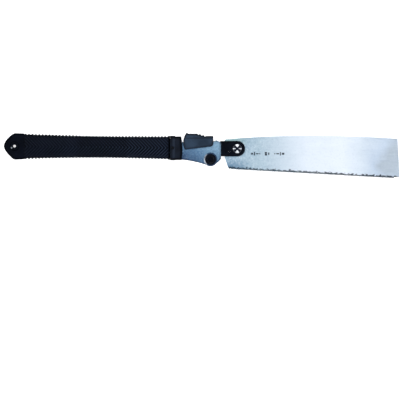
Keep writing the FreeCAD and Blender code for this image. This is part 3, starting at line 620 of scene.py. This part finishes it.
def tooth_height(p, x, y):
    """Height above the line of the tooth tips, in metres."""
    first, last = TOOTH_LINE
    run = (last - first).normalized()
    rise = p.math("MULTIPLY", p.math("SUBTRACT", y, first.y * MM), run.x)
    return p.math("SUBTRACT", rise, p.math("MULTIPLY", p.math("SUBTRACT", x, first.x * MM), run.y))


def marks(p, x, y):
    """A short row of plain bars and dots, with no meaning, printed on the blade near its holder."""
    total = 0.0
    pattern = ((349.5, 1.6, 1.3), (353.2, 0.9, 2.6), (357.4, 1.9, 0.9), (361.0, 0.8, 0.8), (370.0, 1.7, 2.6),
               (374.2, 0.9, 1.8), (383.0, 0.8, 0.8), (387.4, 2.0, 0.8), (391.4, 0.8, 2.5), (395.3, 1.8, 1.5))
    for mid, half_l, half_h in pattern:
        in_x, in_y = p.near(x, mid * MM, half_l * MM), p.near(y, MARKS_Y * MM, half_h * MM)
        total = p.math("ADD", p.math("MULTIPLY", in_x, in_y), total)
    return p.math("MULTIPLY", total, p.ramp(p.noise(1.2, 3), 0.25, 0.45), clamp=True)


# ---- scene ----
def middle(node):
    """Centre and highest z of a CAD node."""
    low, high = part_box(node)
    return (low.x + high.x) / 2, (low.y + high.y) / 2, high.z


def paint_all():
    """Gives each CAD node the material of its slot, and a few nodes one of their own."""
    collar_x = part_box("grip_collar")[0].x
    bolt_x, bolt_y, _ = middle("pivot_bolt")
    screw_x, screw_y, screw_z = middle("blade_screw")
    recess = (screw_x, screw_y, screw_z - SCREW_RECESS_DEPTH, SCREW_RECESS_R)
    silver = (srgb(214, 220, 226), srgb(250, 251, 252), (0.2, 0.36), 0.5)
    made = {
        "collar_plastic": moulded(
            "collar_plastic", srgb(10, 14, 22), srgb(18, 24, 35), srgb(4, 6, 11), shine=0.06,
            highlight_band=(*(collar_x + end for end in COLLAR_HIGHLIGHT), srgb(32, 39, 51))),
        "lever_plastic": moulded(
            "lever_plastic", srgb(25, 39, 54), srgb(41, 57, 75), srgb(3, 6, 14), border=3.2, skirt=CAP_ROOF_Y),
        "spacer_plastic": moulded("spacer_plastic", srgb(22, 24, 28), srgb(34, 36, 42), srgb(50, 52, 58)),
        "pad_rubber": moulded(
            "pad_rubber", srgb(16, 16, 18), srgb(26, 26, 29), srgb(40, 40, 44), rough=(0.6, 0.8)),
        "washer_plastic": moulded(
            "washer_plastic", srgb(188, 184, 170), srgb(214, 210, 198), srgb(225, 222, 214)),
        "plated_steel": plated_steel(),
        "black_steel": black_steel(),
        "bright_steel": metal("bright_steel", *silver),
        "pin_steel": metal("pin_steel", srgb(150, 153, 158), srgb(200, 203, 208), (0.28, 0.46)),
        "spring_steel": metal("spring_steel", srgb(120, 122, 126), srgb(184, 186, 190), (0.25, 0.4)),
        "bush_bronze": metal("bush_bronze", srgb(150, 118, 66), srgb(196, 162, 102), (0.35, 0.5)),
    }
    special = {
        "hang_eyelet": black_steel("eyelet_black", rough=(0.14, 0.22), glint_spot=EYELET_GLINT),
        "blade_locator": black_steel("locator_black", rough=(0.55, 0.65)),
        "pivot_bolt": black_steel("bolt_black", ring=(bolt_x, bolt_y, BOLT_FACE_R)),
        "blade_screw": metal("screw_silver", *silver, recess=recess),
    }
    for part in frame["record"]["subparts"]:
        mat = special.get(part["node"]) or made.get(part["material_slot"])
        if mat is not None:
            ob = nodes[part["node"]]
            ob.data.materials.clear()
            ob.data.materials.append(mat)


def floor():
    """A wide pale floor that fades into the colour of the horizon, so that no edge shows."""
    bm = bmesh.new()
    bmesh.ops.create_circle(bm, cap_ends=True, cap_tris=True, segments=96, radius=FLOOR_R)
    mesh = bpy.data.meshes.new("floor")
    bm.to_mesh(mesh)
    bm.free()
    ob = bpy.data.objects.new("floor", mesh)
    ob.location = (VIEW_CENTRE[0], 0, cad_box[0].z - FLOOR_GAP)
    bpy.context.scene.collection.objects.link(ob)
    p = Paint("floor", rough=0.9, shine=0.1)
    seen = p.node("ShaderNodeLightPath").outputs["Is Camera Ray"]
    pale = p.mix(p.ramp(p.noise(60, 3), 0.3, 0.7), (0.78, 0.78, 0.78, 1), (0.82, 0.82, 0.82, 1))
    p.set("color", p.mix(seen, (0.3, 0.3, 0.3, 1), pale))
    p.shader.inputs["Emission Color"].default_value = (1, 1, 1, 1)
    p.feed(p.shader.inputs["Emission Strength"], p.math("MULTIPLY", seen, FLOOR_GLOW))
    far = p.node("ShaderNodeVectorMath", operation="LENGTH")
    p.feed(far.inputs[0], p.place)
    glow = p.node("ShaderNodeEmission")
    glow.inputs[0].default_value = (*HORIZON, 1)
    p.feed(glow.inputs[1], p.ramp(seen, 0.0, 1.0, (0.3, 1.0)))
    blend = p.node("ShaderNodeMixShader")
    p.feed(blend.inputs[0], p.ramp(far.outputs["Value"], *FLOOR_FADE))
    p.feed(blend.inputs[1], p.shader.outputs[0])
    p.feed(blend.inputs[2], glow.outputs[0])
    p.feed(p.tree.nodes["Material Output"].inputs[0], blend.outputs[0])
    ob.data.materials.append(p.mat)


def sky():
    """A pale surround for the camera. The saw is lit by a sky that darkens from overhead to the horizon."""
    world = bpy.data.worlds.new("studio")
    bpy.context.scene.world = world
    world.use_nodes = True
    tree = world.node_tree
    tree.nodes.clear()
    ray = tree.nodes.new("ShaderNodeTexCoord")
    split = tree.nodes.new("ShaderNodeSeparateXYZ")
    tree.links.new(ray.outputs["Generated"], split.inputs[0])
    ramp = tree.nodes.new("ShaderNodeValToRGB")
    tree.links.new(split.outputs["Z"], ramp.inputs[0])
    for e, (at, color) in zip(ramp.color_ramp.elements, ((0.05, SIDEWAYS), (0.9, OVERHEAD))):
        e.position, e.color = at, (*color, 1)
    seen = tree.nodes.new("ShaderNodeLightPath").outputs["Is Camera Ray"]
    pick = tree.nodes.new("ShaderNodeMix")
    pick.data_type = "RGBA"
    tree.links.new(seen, pick.inputs[0])
    tree.links.new(ramp.outputs[0], pick.inputs[6])
    pick.inputs[7].default_value = (*HORIZON, 1)
    back = tree.nodes.new("ShaderNodeBackground")
    tree.links.new(pick.outputs[2], back.inputs[0])
    out = tree.nodes.new("ShaderNodeOutputWorld")
    tree.links.new(back.outputs[0], out.inputs[0])


def lamp(name, place, size, power, color=(1, 1, 1)):
    """A soft square panel that faces the middle of the saw."""
    data = bpy.data.lights.new(name, "AREA")
    data.shape, data.size, data.energy, data.color = "SQUARE", size, power, color
    ob = bpy.data.objects.new(name, data)
    ob.location = place
    aim = Vector((VIEW_CENTRE[0], -0.01, 0)) - Vector(place)
    ob.rotation_euler = aim.to_track_quat("-Z", "Y").to_euler()
    bpy.context.scene.collection.objects.link(ob)


def camera():
    data = bpy.data.cameras.new("camera")
    data.type = "ORTHO"
    data.ortho_scale = VIEW_WIDTH
    data.clip_end = 50.0
    ob = bpy.data.objects.new("camera", data)
    ob.location = (*VIEW_CENTRE, CAMERA_Z)
    bpy.context.scene.collection.objects.link(ob)
    bpy.context.scene.camera = ob


paint_all()
sleeve(grip_rubber())
blade(blade_steel())
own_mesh(nodes["lever_spring"])
floor()
sky()
lamp("key", (0.25, 0.95, 1.25), 1.0, 15.0)
lamp("fill", (0.95, -0.75, 1.15), 0.9, 10.0, (0.96, 0.98, 1.0))
lamp("side", (-0.75, -0.35, 1.0), 0.8, 8.0, (0.96, 0.98, 1.0))
lamp("glint", (-1.0, -0.55, 0.5), 0.25, 5.0)
camera()
bpy.context.scene.view_settings.view_transform = "Standard"
